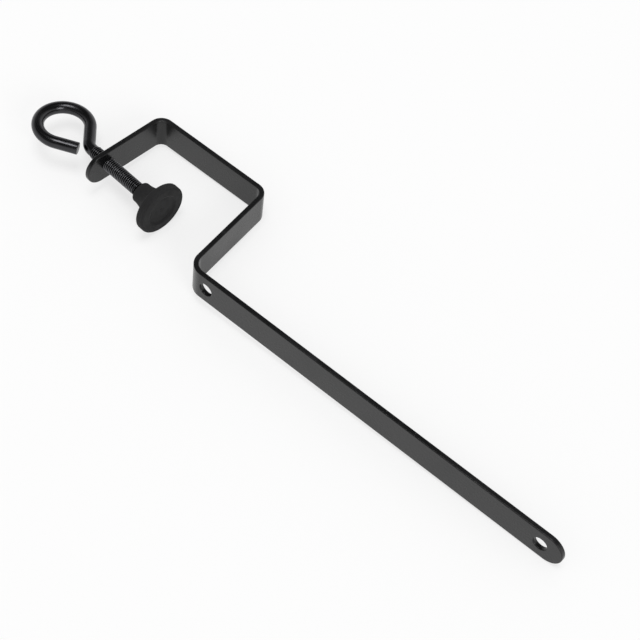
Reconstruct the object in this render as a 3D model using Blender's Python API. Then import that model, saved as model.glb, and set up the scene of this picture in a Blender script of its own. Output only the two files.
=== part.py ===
"""Table tennis net clamp: a bent steel strip with its net post, an eye screw and a pressure foot.

Lengths are in metres and angles in degrees. In the strip's own frame the post runs along +X
from the corner of its bend, the back of the clamp's C lies on the +Y side and the strip's
width runs along +Z. The screw's frame has its origin in the middle of the tapped hole and
its +X along the screw, towards the upper arm. At the end the clamp is laid on its side, on
the points that it really rests on.
"""

import math

import bmesh
import bpy
from mathutils import Matrix, Vector
from mathutils.bvhtree import BVHTree

MM = 0.001

# Flat steel strip, bent three times. Arm lengths run from corner to corner of its mid-line.
STRIP_WIDTH = 12.0 * MM
STRIP_THICKNESS = 1.8 * MM
POST_LENGTH = 152.5 * MM
UPPER_ARM_LENGTH = 41.0 * MM
BACK_LENGTH = 48.4 * MM
LOWER_ARM_LENGTH = 34.1 * MM
UPPER_ARM_SPLAY = 5.0
LOWER_ARM_SPLAY = 4.4
BACK_BEND_RADIUS = 3.0 * MM
POST_BEND_RADIUS = 4.4 * MM
STRIP_EDGE_ROUND = 0.35 * MM

# Holes in the strip
CORD_HOLE_DIAMETER = 5.0 * MM
LOW_HOLE_LAND = 0.4 * MM
TOP_HOLE_FROM_TIP = 8.2 * MM
SCREW_FROM_BACK = 25.0 * MM

# Eye screw: threaded rod, neck and ball at one end, pear-shaped eye at the other
THREAD_DIAMETER = 5.0 * MM
WIRE_DIAMETER = 4.4 * MM
NECK_DIAMETER = 3.2 * MM
BALL_DIAMETER = 5.0 * MM
THREAD_CHAMFER = 0.5 * MM
THREAD_RUNOUT = 0.8 * MM
EYE_RADIUS = 9.1 * MM
STEM_CORNER = 9.5 * MM
STEM_ANGLE = 43.0
STEM_BEND_RADIUS = 5.0 * MM
TAIL_ANGLE = 31.4
EYE_TURN = -5.0

# Pressure foot, a flared moulding that snaps over the ball
FOOT_FACE = 28.4 * MM
FOOT_DIAMETER = 18.8 * MM
FOOT_LENGTH = 11.4 * MM
FOOT_RIM = 3.2 * MM
FOOT_NECK_WALL = 1.8 * MM
FOOT_EDGE_ROUND = 0.7 * MM
FACE_LAND_WIDTH = 3.4 * MM
FACE_RECESS_DEPTH = 0.6 * MM
FACE_WALL = 2.4 * MM

# Fits
SCREW_CLEARANCE = 0.3 * MM
BALL_CLEARANCE = 0.3 * MM
NECK_CLEARANCE = 0.4 * MM
SHOULDER_GAP = 0.5 * MM
EYE_GAP = 0.9 * MM

STEEL_DENSITY = 7850.0
FOOT_DENSITY = 1200.0

BEND_STEPS = 8
TIP_STEPS = 20
HOLE_SIDES = 32
ROD_SIDES = 24
EYE_STEPS = 36
FOOT_SIDES = 48


def clear_scene():
    for ob in list(bpy.data.objects):
        bpy.data.objects.remove(ob, do_unlink=True)


def add_object(name, data, parent):
    ob = bpy.data.objects.new(name, data)
    bpy.context.collection.objects.link(ob)
    ob.parent = parent
    return ob


def paint(ob, name, colour, roughness, metallic=0.0):
    material = bpy.data.materials.new(name)
    material.use_nodes = True
    shader = material.node_tree.nodes["Principled BSDF"]
    shader.inputs["Base Color"].default_value = (*colour, 1.0)
    shader.inputs["Roughness"].default_value = roughness
    shader.inputs["Metallic"].default_value = metallic
    ob.data.materials.append(material)


def mesh_from(bm, name):
    mesh = bpy.data.meshes.new(name)
    bmesh.ops.recalc_face_normals(bm, faces=bm.faces)
    bm.to_mesh(mesh)
    bm.free()
    mesh.shade_smooth()
    mesh.set_sharp_from_angle(angle=math.radians(30.0))
    return mesh


def arc(centre, radius, start, end, steps):
    """Points (x, y) on a circle from one angle to another, both in degrees."""
    points = []
    for i in range(steps + 1):
        angle = math.radians(start + (end - start) * i / steps)
        points.append((centre[0] + radius * math.cos(angle), centre[1] + radius * math.sin(angle)))
    return points


# The strip


def strip_bends():
    """The mid-line's three bends from the lower arm's side: (turn in degrees, radius)."""
    mid = STRIP_THICKNESS / 2
    return (
        (LOWER_ARM_SPLAY - 90.0, BACK_BEND_RADIUS + mid),
        (UPPER_ARM_SPLAY - 90.0, BACK_BEND_RADIUS + mid),
        (90.0 - UPPER_ARM_SPLAY, POST_BEND_RADIUS + mid),
    )


def setback(turn, radius):
    """Distance from a bend's corner to where it begins."""
    return radius * math.tan(math.radians(abs(turn)) / 2)


def strip_route():
    """Runs and bends of the mid-line from the lower arm's tip: (length, turn in degrees)."""
    bends = strip_bends()
    corners = (LOWER_ARM_LENGTH, BACK_LENGTH, UPPER_ARM_LENGTH, POST_LENGTH)
    setbacks = [0.0] + [setback(turn, radius) for turn, radius in bends] + [0.0]
    route = []
    for i, length in enumerate(corners):
        route.append((length - setbacks[i] - setbacks[i + 1], 0.0))
        if i < len(bends):
            turn, radius = bends[i]
            route.append((radius * math.radians(abs(turn)), turn))
    return route


def blank_length():
    return sum(length for length, turn in strip_route())


def walk(distance, start):
    """Mid-line point and heading after a distance along the route that begins at start."""
    point = Vector(start)
    heading = math.radians(90.0 - LOWER_ARM_SPLAY)
    for length, turn in strip_route():
        step = min(distance, length)
        if turn:
            bend = math.radians(turn) * step / length
            radius = length / math.radians(turn)
            side = Vector((-math.sin(heading), math.cos(heading)))
            point += side * radius
            heading += bend
            point -= Vector((-math.sin(heading), math.cos(heading))) * radius
        else:
            point += Vector((math.cos(heading), math.sin(heading))) * step
        distance -= step
        if distance <= 0.0:
            break
    return point, heading


def strip_start():
    """Where the lower arm's tip lies when the post's bend has its corner at the origin."""
    tip = walk(blank_length(), (0.0, 0.0))[0]
    return Vector((POST_LENGTH, 0.0)) - tip


def strip_frame(distance):
    """Matrix of a place on the strip: X along it, Y out of its outer or upper face, Z across."""
    point, heading = walk(distance, strip_start())
    place = Matrix.Translation((point.x, point.y, STRIP_WIDTH / 2))
    return place @ Matrix.Rotation(heading, 4, "Z")


def bend_stations():
    """Distances along the strip at which a bend begins, ends or is divided."""
    stations = []
    travelled = 0.0
    for length, turn in strip_route():
        if turn:
            stations += [travelled + length * i / BEND_STEPS for i in range(BEND_STEPS + 1)]
        travelled += length
    return stations


def flat_blank():
    """The strip before bending: a bar with round ends, along +X, its width centred on Z = 0."""
    radius = STRIP_WIDTH / 2
    mid = STRIP_THICKNESS / 2
    outline = arc((radius, 0.0), radius, 90.0, 270.0, TIP_STEPS)
    outline += arc((blank_length() - radius, 0.0), radius, -90.0, 90.0, TIP_STEPS)
    bm = bmesh.new()
    face = bm.faces.new([bm.verts.new((x, -mid, z)) for x, z in outline])
    top = bmesh.ops.extrude_face_region(bm, geom=[face])["geom"]
    top_verts = [item for item in top if isinstance(item, bmesh.types.BMVert)]
    bmesh.ops.translate(bm, verts=top_verts, vec=(0.0, STRIP_THICKNESS, 0.0))
    return bm


def bent_strip():
    bm = flat_blank()
    for station in bend_stations():
        bmesh.ops.bisect_plane(
            bm,
            geom=list(bm.verts) + list(bm.edges) + list(bm.faces),
            dist=1e-7,
            plane_co=(station, 0.0, 0.0),
            plane_no=(1.0, 0.0, 0.0),
        )
    for vert in bm.verts:
        along, out, across = vert.co
        vert.co = strip_frame(along) @ Vector((0.0, out, across))
    return mesh_from(bm, "bracket")


def add_hole(bracket, name, distance, diameter):
    """Drill the strip through its thickness at a distance from the lower arm's tip."""
    bm = bmesh.new()
    bmesh.ops.create_cone(
        bm,
        cap_ends=True,
        segments=HOLE_SIDES,
        radius1=diameter / 2,
        radius2=diameter / 2,
        depth=3 * STRIP_THICKNESS,
        matrix=Matrix.Rotation(math.radians(90.0), 4, "X"),
    )
    cutter = add_object(name, mesh_from(bm, name), bracket.parent)
    cutter.matrix_local = strip_frame(distance)
    cutter.hide_render = True
    cutter.display_type = "WIRE"
    cut = bracket.modifiers.new(name, "BOOLEAN")
    cut.operation = "DIFFERENCE"
    cut.solver = "EXACT"
    cut.object = cutter


def screw_distance():
    """Distance of the tapped hole from the lower arm's tip, along the strip."""
    return LOWER_ARM_LENGTH - SCREW_FROM_BACK


def low_hole_distance():
    """The low cord hole lies just past the post's bend, on the flat."""
    post_start = blank_length() - strip_route()[-1][0]
    return post_start + LOW_HOLE_LAND + CORD_HOLE_DIAMETER / 2


def make_bracket(root):
    bracket = add_object("bracket", bent_strip(), root)
    top_hole = blank_length() - TOP_HOLE_FROM_TIP
    add_hole(bracket, "tapped_hole", screw_distance(), THREAD_DIAMETER + 2 * SCREW_CLEARANCE)
    add_hole(bracket, "low_cord_hole", low_hole_distance(), CORD_HOLE_DIAMETER)
    add_hole(bracket, "top_cord_hole", top_hole, CORD_HOLE_DIAMETER)
    edges = bracket.modifiers.new("rounded_edges", "BEVEL")
    edges.width = STRIP_EDGE_ROUND
    edges.segments = 2
    edges.limit_method = "ANGLE"
    edges.angle_limit = math.radians(50.0)
    paint(bracket, "black_powder_coat", (0.022, 0.022, 0.024), 0.42)
    return bracket


# The screw


def socket_radius():
    return BALL_DIAMETER / 2 + BALL_CLEARANCE


def ball_behind_face():
    """Distance from the foot's face to the ball's centre."""
    return FACE_RECESS_DEPTH + FACE_WALL + socket_radius()


def ball_stations():
    """Half outline of the ball and neck, as (x, radius), from the ball's tip to the thread."""
    ball = BALL_DIAMETER / 2
    neck = NECK_DIAMETER / 2
    centre = FOOT_FACE - ball_behind_face()
    tip_angle = 15.0
    neck_angle = 180.0 - math.degrees(math.asin(neck / ball))
    points = arc((centre, 0.0), ball, tip_angle, neck_angle, 12)
    shoulder = FOOT_FACE - FOOT_LENGTH - SHOULDER_GAP
    points.append((shoulder, neck))
    points.append((shoulder - THREAD_CHAMFER, THREAD_DIAMETER / 2))
    return points


def stem_bend_start():
    """Where the wire leaves the screw's axis."""
    return setback(STEM_ANGLE, STEM_BEND_RADIUS) - STEM_CORNER


def eye_centre():
    """Where the eye's centre lies for the stem to run into its circle as a tangent."""
    return -STEM_CORNER - EYE_RADIUS / math.sin(math.radians(STEM_ANGLE))


def tail_end():
    """Middle of the wire's cut end, whose inner corner keeps the eye's gap to the stem."""
    wire = WIRE_DIAMETER / 2
    tail = math.radians(TAIL_ANGLE)
    stem = math.radians(STEM_ANGLE)
    aim = eye_centre() + EYE_RADIUS / math.sin(tail)
    beside_stem = wire + EYE_GAP + wire * math.cos(stem + tail)
    short = (beside_stem + (STEM_CORNER + aim) * math.sin(stem)) / math.sin(stem + tail)
    return aim - short * math.cos(tail), -short * math.sin(tail)


def eye_centre_line():
    """Mid-line of the wire from the end of the thread round the eye to its cut end."""
    bend_centre = (stem_bend_start(), STEM_BEND_RADIUS)
    points = arc(bend_centre, STEM_BEND_RADIUS, -90.0, -90.0 - STEM_ANGLE, 8)
    round_end = 270.0 + TAIL_ANGLE
    points += arc((eye_centre(), 0.0), EYE_RADIUS, 90.0 - STEM_ANGLE, round_end, EYE_STEPS)
    points.append(tail_end())
    return points


def screw_stations():
    """(x, y, radius) all along the screw, from the ball's tip to the eye's cut end."""
    wire = WIRE_DIAMETER / 2
    thread_end = stem_bend_start() + THREAD_RUNOUT
    stations = [(x, 0.0, radius) for x, radius in ball_stations()]
    stations.append((thread_end, 0.0, THREAD_DIAMETER / 2))
    stations.append((thread_end - THREAD_RUNOUT / 2, 0.0, wire))
    stations += [(x, y, wire) for x, y in eye_centre_line()]
    return stations


def make_screw(axis):
    """One rod swept along the screw's path, with its radius set at each station."""
    curve = bpy.data.curves.new("clamp_screw", "CURVE")
    curve.dimensions = "3D"
    curve.twist_mode = "Z_UP"
    curve.bevel_depth = MM
    curve.bevel_resolution = ROD_SIDES // 2 - 2
    curve.use_fill_caps = True
    stations = screw_stations()
    spline = curve.splines.new("POLY")
    spline.points.add(len(stations) - 1)
    for point, (x, y, radius) in zip(spline.points, stations):
        point.co = (x, y, 0.0, 1.0)
        point.radius = radius / MM
    screw = add_object("clamp_screw", curve, axis)
    screw.rotation_euler.x = math.radians(EYE_TURN)
    paint(screw, "black_oxide_steel", (0.012, 0.012, 0.013), 0.3, 1.0)
    return screw


# The foot


def foot_profile():
    """Half section of the foot, as (distance behind its face, radius), from its face's middle."""
    outer = FOOT_DIAMETER / 2
    edge = FOOT_EDGE_ROUND
    recess = outer - FACE_LAND_WIDTH
    mouth = NECK_DIAMETER / 2 + NECK_CLEARANCE
    neck = mouth + FOOT_NECK_WALL
    socket = socket_radius()
    profile = [(FACE_RECESS_DEPTH, 0.0), (FACE_RECESS_DEPTH, recess - FACE_RECESS_DEPTH)]
    profile.append((0.0, recess))
    profile += arc((edge, outer - edge), edge, 180.0, 90.0, 4)
    profile += arc((FOOT_RIM - edge, outer - edge), edge, 90.0, 20.0, 3)
    flare_length = FOOT_LENGTH - edge - FOOT_RIM
    flare_depth = outer - edge - neck
    for i in range(1, 13):
        angle = math.radians(7.5 * i)
        behind = FOOT_RIM + flare_length * (1 - math.cos(angle))
        profile.append((behind, outer - edge - flare_depth * math.sin(angle)))
    profile += arc((FOOT_LENGTH - edge, neck - edge), edge, 90.0, 0.0, 4)[1:]
    profile.append((FOOT_LENGTH, mouth))
    mouth_angle = math.degrees(math.asin(mouth / socket))
    profile += arc((ball_behind_face(), 0.0), socket, mouth_angle, 180.0, 14)
    return profile


def make_foot(axis):
    """Turn the half section about the screw's axis, with the origin at the ball's centre."""
    bm = bmesh.new()
    verts = []
    for behind, radius in foot_profile():
        verts.append(bm.verts.new((ball_behind_face() - behind, max(radius, 0.0), 0.0)))
    edges = [bm.edges.new(pair) for pair in zip(verts, verts[1:])]
    bmesh.ops.spin(
        bm,
        geom=verts + edges,
        cent=(0.0, 0.0, 0.0),
        axis=(1.0, 0.0, 0.0),
        angle=2 * math.pi,
        steps=FOOT_SIDES,
        use_merge=True,
    )
    bmesh.ops.remove_doubles(bm, verts=bm.verts, dist=1e-6)
    foot = add_object("pressure_foot", mesh_from(bm, "pressure_foot"), axis)
    foot.location.x = FOOT_FACE - ball_behind_face()
    paint(foot, "black_moulded_plastic", (0.018, 0.018, 0.018), 0.5)
    return foot


# Lying on its side


def evaluated_triangles(ob):
    """Corners of the piece's triangles as it finally is, in the clamp's own frame."""
    depsgraph = bpy.context.evaluated_depsgraph_get()
    finished = ob.evaluated_get(depsgraph)
    mesh = finished.to_mesh()
    mesh.calc_loop_triangles()
    corners = [ob.matrix_world @ vert.co for vert in mesh.vertices]
    triangles = [[corners[i] for i in tri.vertices] for tri in mesh.loop_triangles]
    finished.to_mesh_clear()
    return triangles


def mass_centre(pieces):
    """Centre of mass of (triangles, density) pairs."""
    mass = 0.0
    moment = Vector((0.0, 0.0, 0.0))
    for triangles, density in pieces:
        for a, b, c in triangles:
            share = density * a.dot(b.cross(c)) / 6
            mass += share
            moment += share * (a + b + c) / 4
    return moment / mass


def resting_direction(points, centre):
    """Direction that points down when the clamp lies on its hull, below its centre of mass."""
    hull = bmesh.new()
    verts = [hull.verts.new(point) for point in points]
    bmesh.ops.convex_hull(hull, input=verts)
    bmesh.ops.recalc_face_normals(hull, faces=hull.faces)
    tree = BVHTree.FromBMesh(hull)
    down = Vector((0.0, 0.0, -1.0))
    for _ in range(6):
        down = tree.ray_cast(centre, down)[1].normalized()
    hull.free()
    return down


def lay_down(root, pieces):
    """Turn the clamp onto its three resting points and centre its outline on the origin."""
    bpy.context.view_layer.update()
    solids = [(evaluated_triangles(ob), density) for ob, density in pieces]
    points = [corner for triangles, _ in solids for triangle in triangles for corner in triangle]
    down = resting_direction(points, mass_centre(solids))
    turn = down.rotation_difference(Vector((0.0, 0.0, -1.0))).to_matrix()
    post = turn @ Vector((1.0, 0.0, 0.0))
    turn = Matrix.Rotation(-math.atan2(post.y, post.x), 3, "Z") @ turn
    turned = [turn @ point for point in points]
    low = Vector([min(point[i] for point in turned) for i in range(3)])
    high = Vector([max(point[i] for point in turned) for i in range(3)])
    middle = (low + high) / 2
    root.matrix_world = Matrix.Translation((-middle.x, -middle.y, -low.z)) @ turn.to_4x4()


def main():
    clear_scene()
    root = add_object("clamp", None, None)
    bracket = make_bracket(root)
    axis = add_object("screw_axis", None, root)
    axis.matrix_local = strip_frame(screw_distance()) @ Matrix.Rotation(math.radians(-90.0), 4, "Z")
    foot = make_foot(axis)
    screw = make_screw(axis)
    lay_down(root, ((bracket, STEEL_DENSITY), (screw, STEEL_DENSITY), (foot, FOOT_DENSITY)))


main()
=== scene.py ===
"""Looks of the table tennis net clamp, built around its packed frame.

The steel strip is blanked, drilled, rounded, tapped and then bent, in the order of the real
one. The screw is one wire with a rolled thread, a ball end and an eye, and the foot is turned
from its section. Lengths are in metres unless a name says otherwise.
"""

import math
from functools import partial

import bmesh
import bpy
from bpy.props import FloatProperty, FloatVectorProperty, IntProperty, PointerProperty
from mathutils import Euler, Matrix, Vector


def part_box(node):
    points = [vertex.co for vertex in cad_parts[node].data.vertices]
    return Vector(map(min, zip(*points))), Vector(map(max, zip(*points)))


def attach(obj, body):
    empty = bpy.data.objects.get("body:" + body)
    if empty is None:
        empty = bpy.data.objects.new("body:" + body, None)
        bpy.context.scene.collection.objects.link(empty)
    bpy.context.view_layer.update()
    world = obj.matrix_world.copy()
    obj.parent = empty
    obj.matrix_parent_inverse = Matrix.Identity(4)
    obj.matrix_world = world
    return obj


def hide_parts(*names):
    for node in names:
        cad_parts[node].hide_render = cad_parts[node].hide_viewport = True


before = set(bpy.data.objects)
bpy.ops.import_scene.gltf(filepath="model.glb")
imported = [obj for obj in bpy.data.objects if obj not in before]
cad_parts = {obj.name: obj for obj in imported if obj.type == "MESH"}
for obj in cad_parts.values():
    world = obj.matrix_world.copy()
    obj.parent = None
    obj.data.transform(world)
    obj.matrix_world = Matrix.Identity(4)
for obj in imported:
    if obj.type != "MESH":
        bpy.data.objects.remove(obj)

bl_info = {
    "name": "Table tennis net clamp",
    "version": (1, 0, 0),
    "blender": (4, 5, 0),
    "location": "3D View > Sidebar > Net clamp",
    "description": "Bent steel strip with a net post, eye screw and pressure foot",
    "category": "Add Mesh",
}

MM = 0.001
FULL_TURN = 2 * math.pi
RIGHT_ANGLE = math.pi / 2
EIGHTH_TURN = math.pi / 4
WHITE = (1.0, 1.0, 1.0, 1.0)

# How the clamp lies: turned about X, then about Y, onto the three points that it rests on
RESTING_TURN = (math.radians(-5.997679), math.radians(1.596563), 0.0)
RESTING_PLACE = (-32.4031 * MM, -20.9371 * MM, 4.1391 * MM)

# Turn from the strip's frame to the screw's, whose X points out of the strip's inner face
STRIP_TO_SCREW = Matrix.Rotation(-RIGHT_ANGLE, 4, "Z")

# How far a piece's box may be from that of the solid it replaces, whose curves are coarser
BOX_TOLERANCE = 0.15 * MM

# Points nearer than this are one point: within a form, where the screw's forms meet, and
# after the strip's cuts
SAME_POINT = 0.001 * MM
SAME_RING = 0.002 * MM
CUT_SLIVER = 0.003 * MM

# A plane that divides a bend takes in the points that already lie this near to it
ON_PLANE = 0.0001 * MM

# Edges that turn by more than this stay crisp, and those of the blank are rounded
CRISP_ON_STRIP = math.radians(32.0)
CRISP_ON_SCREW = math.radians(50.0)
CRISP_ON_FOOT = math.radians(35.0)
ROUNDED_ON_BLANK = math.radians(50.0)

# Share of half a pitch that is flat at the bottom and at the top of the rolled thread
ROOT_FLAT = 0.14
CREST_FLAT = 0.10

# Pitches by which the tap runs past each face of the strip
TAP_OVERRUN = 1.2

# Angle in radians between the screw's axis and the ball's last ring, which one point closes
BALL_LAST_RING = 0.02

# Kinds of node that occur often
MATH = "ShaderNodeMath"
MAP_RANGE = "ShaderNodeMapRange"
MIX = "ShaderNodeMix"
NOISE = "ShaderNodeTexNoise"

# Sockets of a colour Mix: its two colours and its result, whose names occur more than once
MIX_FIRST, MIX_SECOND, MIX_RESULT = 6, 7, 2

# Setting of a Map Range that eases in and out
SMOOTH = {"interpolation_type": "SMOOTHSTEP"}

# Nearly all values of a noise lie between these
NOISE_LOW, NOISE_HIGH = 0.35, 0.65

# The lengths that the thread's node tree takes, in their order
THREAD_LENGTHS = (
    "Length",
    "Pitch",
    "Crest radius",
    "Root radius",
    "Outer end radius",
    "Inner end radius",
    "Chamfer",
    "Run-out",
)

SENSOR_MM = 36.0


def linear(hex_colour):
    """Linear red, green and blue of an sRGB hex value."""
    parts = [int(hex_colour[i : i + 2], 16) / 255 for i in (1, 3, 5)]
    return [c / 12.92 if c <= 0.04045 else ((c + 0.055) / 1.055) ** 2.4 for c in parts]


def length(name, description, millimetres):
    return FloatProperty(
        name=name,
        description=description,
        default=millimetres * MM,
        min=0.0,
        precision=5,
        subtype="DISTANCE",
    )


def turn_angle(name, description, degrees):
    return FloatProperty(
        name=name, description=description, default=math.radians(degrees), subtype="ANGLE"
    )


def colour(name, description, hex_colour):
    return FloatVectorProperty(
        name=name,
        description=description,
        default=linear(hex_colour),
        min=0.0,
        max=1.0,
        subtype="COLOR",
    )


def brightness(name, description, default):
    return FloatProperty(name=name, description=description, default=default, min=0.0)


def vector(name, description, xyz, subtype):
    return FloatVectorProperty(name=name, description=description, default=xyz, subtype=subtype)


def count(name, description, default):
    return IntProperty(name=name, description=description, default=default, min=3)


class NETCLAMP_PG_strip(bpy.types.PropertyGroup):
    """Sizes and colour of the bent steel strip."""

    width: length("Width", "Width of the flat steel strip", 12.0)
    thickness: length("Thickness", "Thickness of the strip", 1.8)
    post_length: length("Post", "From the corner of the post's bend to its tip", 152.5)
    upper_arm_length: length("Upper arm", "Upper arm between the corners of its bends", 41.0)
    back_length: length("Back", "Back of the C between the corners of its bends", 48.4)
    lower_arm_length: length("Lower arm", "Lower arm from its bend's corner to its tip", 34.1)
    upper_arm_splay: turn_angle("Upper arm splay", "Lean of the upper arm from square", 5.0)
    lower_arm_splay: turn_angle("Lower arm splay", "Lean of the lower arm from square", 4.4)
    back_bend_radius: length("Back bends", "Inner radius of the two bends of the back", 3.0)
    post_bend_radius: length("Post bend", "Inner radius of the bend under the post", 4.4)
    edge_round: length("Edge round", "Rounding of the tumbled edges", 0.35)
    cord_hole_diameter: length("Cord holes", "Diameter of the two holes in the post", 5.0)
    low_hole_land: length("Low hole land", "Flat between the post's bend and the hole", 0.4)
    top_hole_from_tip: length("Top hole", "From the post's tip to the top hole's middle", 8.2)
    screw_from_back: length("Screw place", "From the back to the tapped hole", 25.0)
    drill_diameter: length("Tapping drill", "Diameter drilled before the thread is cut", 4.3)
    countersink: length("Countersink", "Chamfer round both ends of the tapped hole", 0.4)
    tap_clearance: length("Tap clearance", "Gap between the screw's thread and the hole's", 0.07)
    coat_colour: colour("Coat", "Colour of the powder coat", "#121213")


class NETCLAMP_PG_screw(bpy.types.PropertyGroup):
    """Sizes and colour of the eye screw."""

    thread_diameter: length("Thread", "Outer diameter of the rolled thread", 5.0)
    root_diameter: length("Root", "Diameter at the bottom of the thread", 4.04)
    pitch: length("Pitch", "Advance of the screw in one turn", 0.8)
    wire_diameter: length("Wire", "Diameter of the wire that the screw is made of", 4.4)
    neck_diameter: length("Neck", "Diameter of the neck behind the ball", 3.2)
    ball_diameter: length("Ball", "Diameter of the ball in the foot's socket", 5.0)
    thread_chamfer: length("Thread chamfer", "Length of the cone at the thread's inner end", 0.5)
    thread_runout: length("Run-out", "Length over which the thread fades into the wire", 0.8)
    eye_radius: length("Eye radius", "Radius of the eye's centre line", 9.1)
    stem_corner: length("Stem corner", "From the lower arm's middle to the stem's corner", 9.5)
    stem_angle: turn_angle("Stem angle", "Angle at which the stem leaves the screw's axis", 43.0)
    stem_bend_radius: length("Stem bend", "Radius of the stem's bend at its centre line", 5.0)
    tail_angle: turn_angle("Tail angle", "Angle between the eye's straight tail and the axis", 31.4)
    eye_gap: length("Eye gap", "Clearance between the cut end and the stem", 0.9)
    eye_turn: turn_angle("Eye turn", "Turn of the eye about the axis at rest", -5.0)
    cut_round: length("Cut end", "Rounding of the edge of the wire's cut end", 0.2)
    steel_colour: colour("Steel", "Colour of the blackened steel", "#414143")
    crest_colour: colour("Crests", "Colour of the burnished thread crests", "#6e6e71")


class NETCLAMP_PG_foot(bpy.types.PropertyGroup):
    """Sizes and colour of the pressure foot, and its fits on the screw."""

    face: length("Face", "From the lower arm's middle to the foot's face", 28.4)
    diameter: length("Diameter", "Diameter of the foot's rim", 18.8)
    height: length("Height", "From the face to the end of the neck", 11.4)
    rim: length("Rim", "Length of the cylindrical rim with its rounded edges", 3.2)
    rim_back: turn_angle("Rim back", "Angle left of the rim's back rounding at the flare", 20.0)
    neck_wall: length("Neck wall", "Wall of the neck round its mouth", 1.8)
    edge_round: length("Edge round", "Rounding of the rim and the neck", 0.7)
    mouth_chamfer: length("Mouth chamfer", "Chamfer round the neck's mouth", 0.15)
    land_width: length("Face land", "Width of the flat ring round the recess", 3.4)
    recess_depth: length("Recess", "Depth of the recess in the face", 0.6)
    recess_corner: length("Recess corner", "Rounding at the bottom of the recess", 0.25)
    recess_lip: length("Recess lip", "Rounding between the recess and the face land", 0.3)
    face_wall: length("Face wall", "Wall between the recess and the socket", 2.4)
    gate_radius: length("Gate", "Radius of the nub that the mould's gate leaves", 0.4)
    mark_depth: length("Mould marks", "Depth of the parting line, and half of the gate's", 0.04)
    ball_clearance: length("Ball clearance", "Gap between the ball and its socket", 0.3)
    neck_clearance: length("Neck clearance", "Gap between the screw's neck and the mouth", 0.4)
    shoulder_gap: length("Shoulder gap", "From the neck's end to the thread", 0.5)
    plastic_colour: colour("Plastic", "Colour of the moulded plastic", "#19191a")


class NETCLAMP_PG_stage(bpy.types.PropertyGroup):
    """Floor, lights and camera."""

    floor_size: length("Floor", "Side of the square floor", 4000.0)
    floor_colour: colour("Floor", "Colour of the pale floor", "#9d9d9d")
    floor_glow: brightness("Floor glow", "Light that comes up through the floor", 0.66)
    room_level: brightness("Room level", "Soft light from all round the object", 0.54)
    ceiling_level: brightness("Ceiling", "Brightness of the ceiling in reflections", 0.1)
    high_light: brightness("High softbox", "Level of light from the high softbox", 0.30)
    high_towards: vector("High place", "Direction of the high softbox", (0.05, 0.0, 1.0), "XYZ")
    side_light: brightness("Side softbox", "Level of light from the low side softbox", 0.24)
    side_towards: vector("Side place", "Direction of the side softbox", (0.85, -0.25, 0.5), "XYZ")
    softbox_width: turn_angle("Softboxes", "Apparent width of a softbox", 26.0)
    camera_place: vector(
        "Camera", "Place of the camera", (0.210556, -0.235246, 0.471975), "TRANSLATION"
    )
    camera_target: vector(
        "Target", "Point in the middle of the picture", (0.0105, -0.0045, 0.008), "TRANSLATION"
    )
    lens_mm: FloatProperty(
        name="Lens", description="Focal length in millimetres on a 36 mm sensor", default=96.5
    )


class NETCLAMP_PG_fineness(bpy.types.PropertyGroup):
    """How finely curves are divided."""

    bend_steps: count("Bends", "Steps in each bend of the strip", 20)
    tip_steps: count("Tips", "Steps in each round tip of the strip", 44)
    edge_steps: count("Edges", "Steps in the strip's rounded edges", 4)
    hole_sides: count("Holes", "Sides of a cord hole", 64)
    rod_sides: count("Rod", "Sides of the screw", 64)
    thread_rows: count("Thread", "Rows in one thread turn", 14)
    stem_steps: count("Stem", "Steps in the stem's bend", 14)
    eye_steps: count("Eye", "Steps round the eye", 96)
    cut_steps: count("Cut end", "Steps in the edge of the wire's cut end", 3)
    ball_steps: count("Ball", "Steps from pole to neck on the ball and in its socket", 28)
    foot_sides: count("Foot", "Sides of the foot", 128)
    recess_steps: count("Recess", "Steps in each rounding of the foot's recess", 4)
    rim_steps: count("Rim front", "Steps in the rim's front rounding", 10)
    rim_back_steps: count("Rim back", "Steps in the rim's back rounding", 7)
    flare_steps: count("Flare", "Steps along the foot's flare", 30)
    neck_steps: count("Neck", "Steps in the rounding of the foot's neck", 8)


# Meshes


def new_object(name, mesh):
    ob = bpy.data.objects.new(name, mesh)
    bpy.context.scene.collection.objects.link(ob)
    return ob


def finished_mesh(ob):
    """The object's mesh with its modifiers applied."""
    depsgraph = bpy.context.evaluated_depsgraph_get()
    return bpy.data.meshes.new_from_object(ob.evaluated_get(depsgraph))


def mesh_from(bm, name):
    mesh = bpy.data.meshes.new(name)
    bm.to_mesh(mesh)
    bm.free()
    return mesh


def smooth_to_crisp_edges(mesh, crisp_angle):
    mesh.shade_smooth()
    mesh.set_sharp_from_angle(angle=crisp_angle)


def arc(centre, radius, start, end, steps):
    """Points (x, y) on a circle from one angle to another."""
    angles = [start + (end - start) * i / steps for i in range(steps + 1)]
    return [
        (centre[0] + radius * math.cos(a), centre[1] + radius * math.sin(a)) for a in angles
    ]


def turned_solid(profile, sides, name):
    """Solid of revolution about X from (x, radius) points that begin and end on the axis."""
    bm = bmesh.new()
    verts = [bm.verts.new((x, radius, 0.0)) for x, radius in profile]
    edges = [bm.edges.new(pair) for pair in zip(verts, verts[1:])]
    bmesh.ops.spin(
        bm,
        geom=verts + edges,
        cent=(0.0, 0.0, 0.0),
        axis=(1.0, 0.0, 0.0),
        angle=FULL_TURN,
        steps=sides,
        use_merge=True,
    )
    bmesh.ops.remove_doubles(bm, verts=bm.verts, dist=SAME_POINT)
    bmesh.ops.recalc_face_normals(bm, faces=bm.faces)
    return mesh_from(bm, name)


# The strip


def strip_bends(strip):
    """The mid-line's three bends from the lower arm's side: (turn, radius)."""
    mid = strip.thickness / 2
    return (
        (strip.lower_arm_splay - RIGHT_ANGLE, strip.back_bend_radius + mid),
        (strip.upper_arm_splay - RIGHT_ANGLE, strip.back_bend_radius + mid),
        (RIGHT_ANGLE - strip.upper_arm_splay, strip.post_bend_radius + mid),
    )


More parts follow.
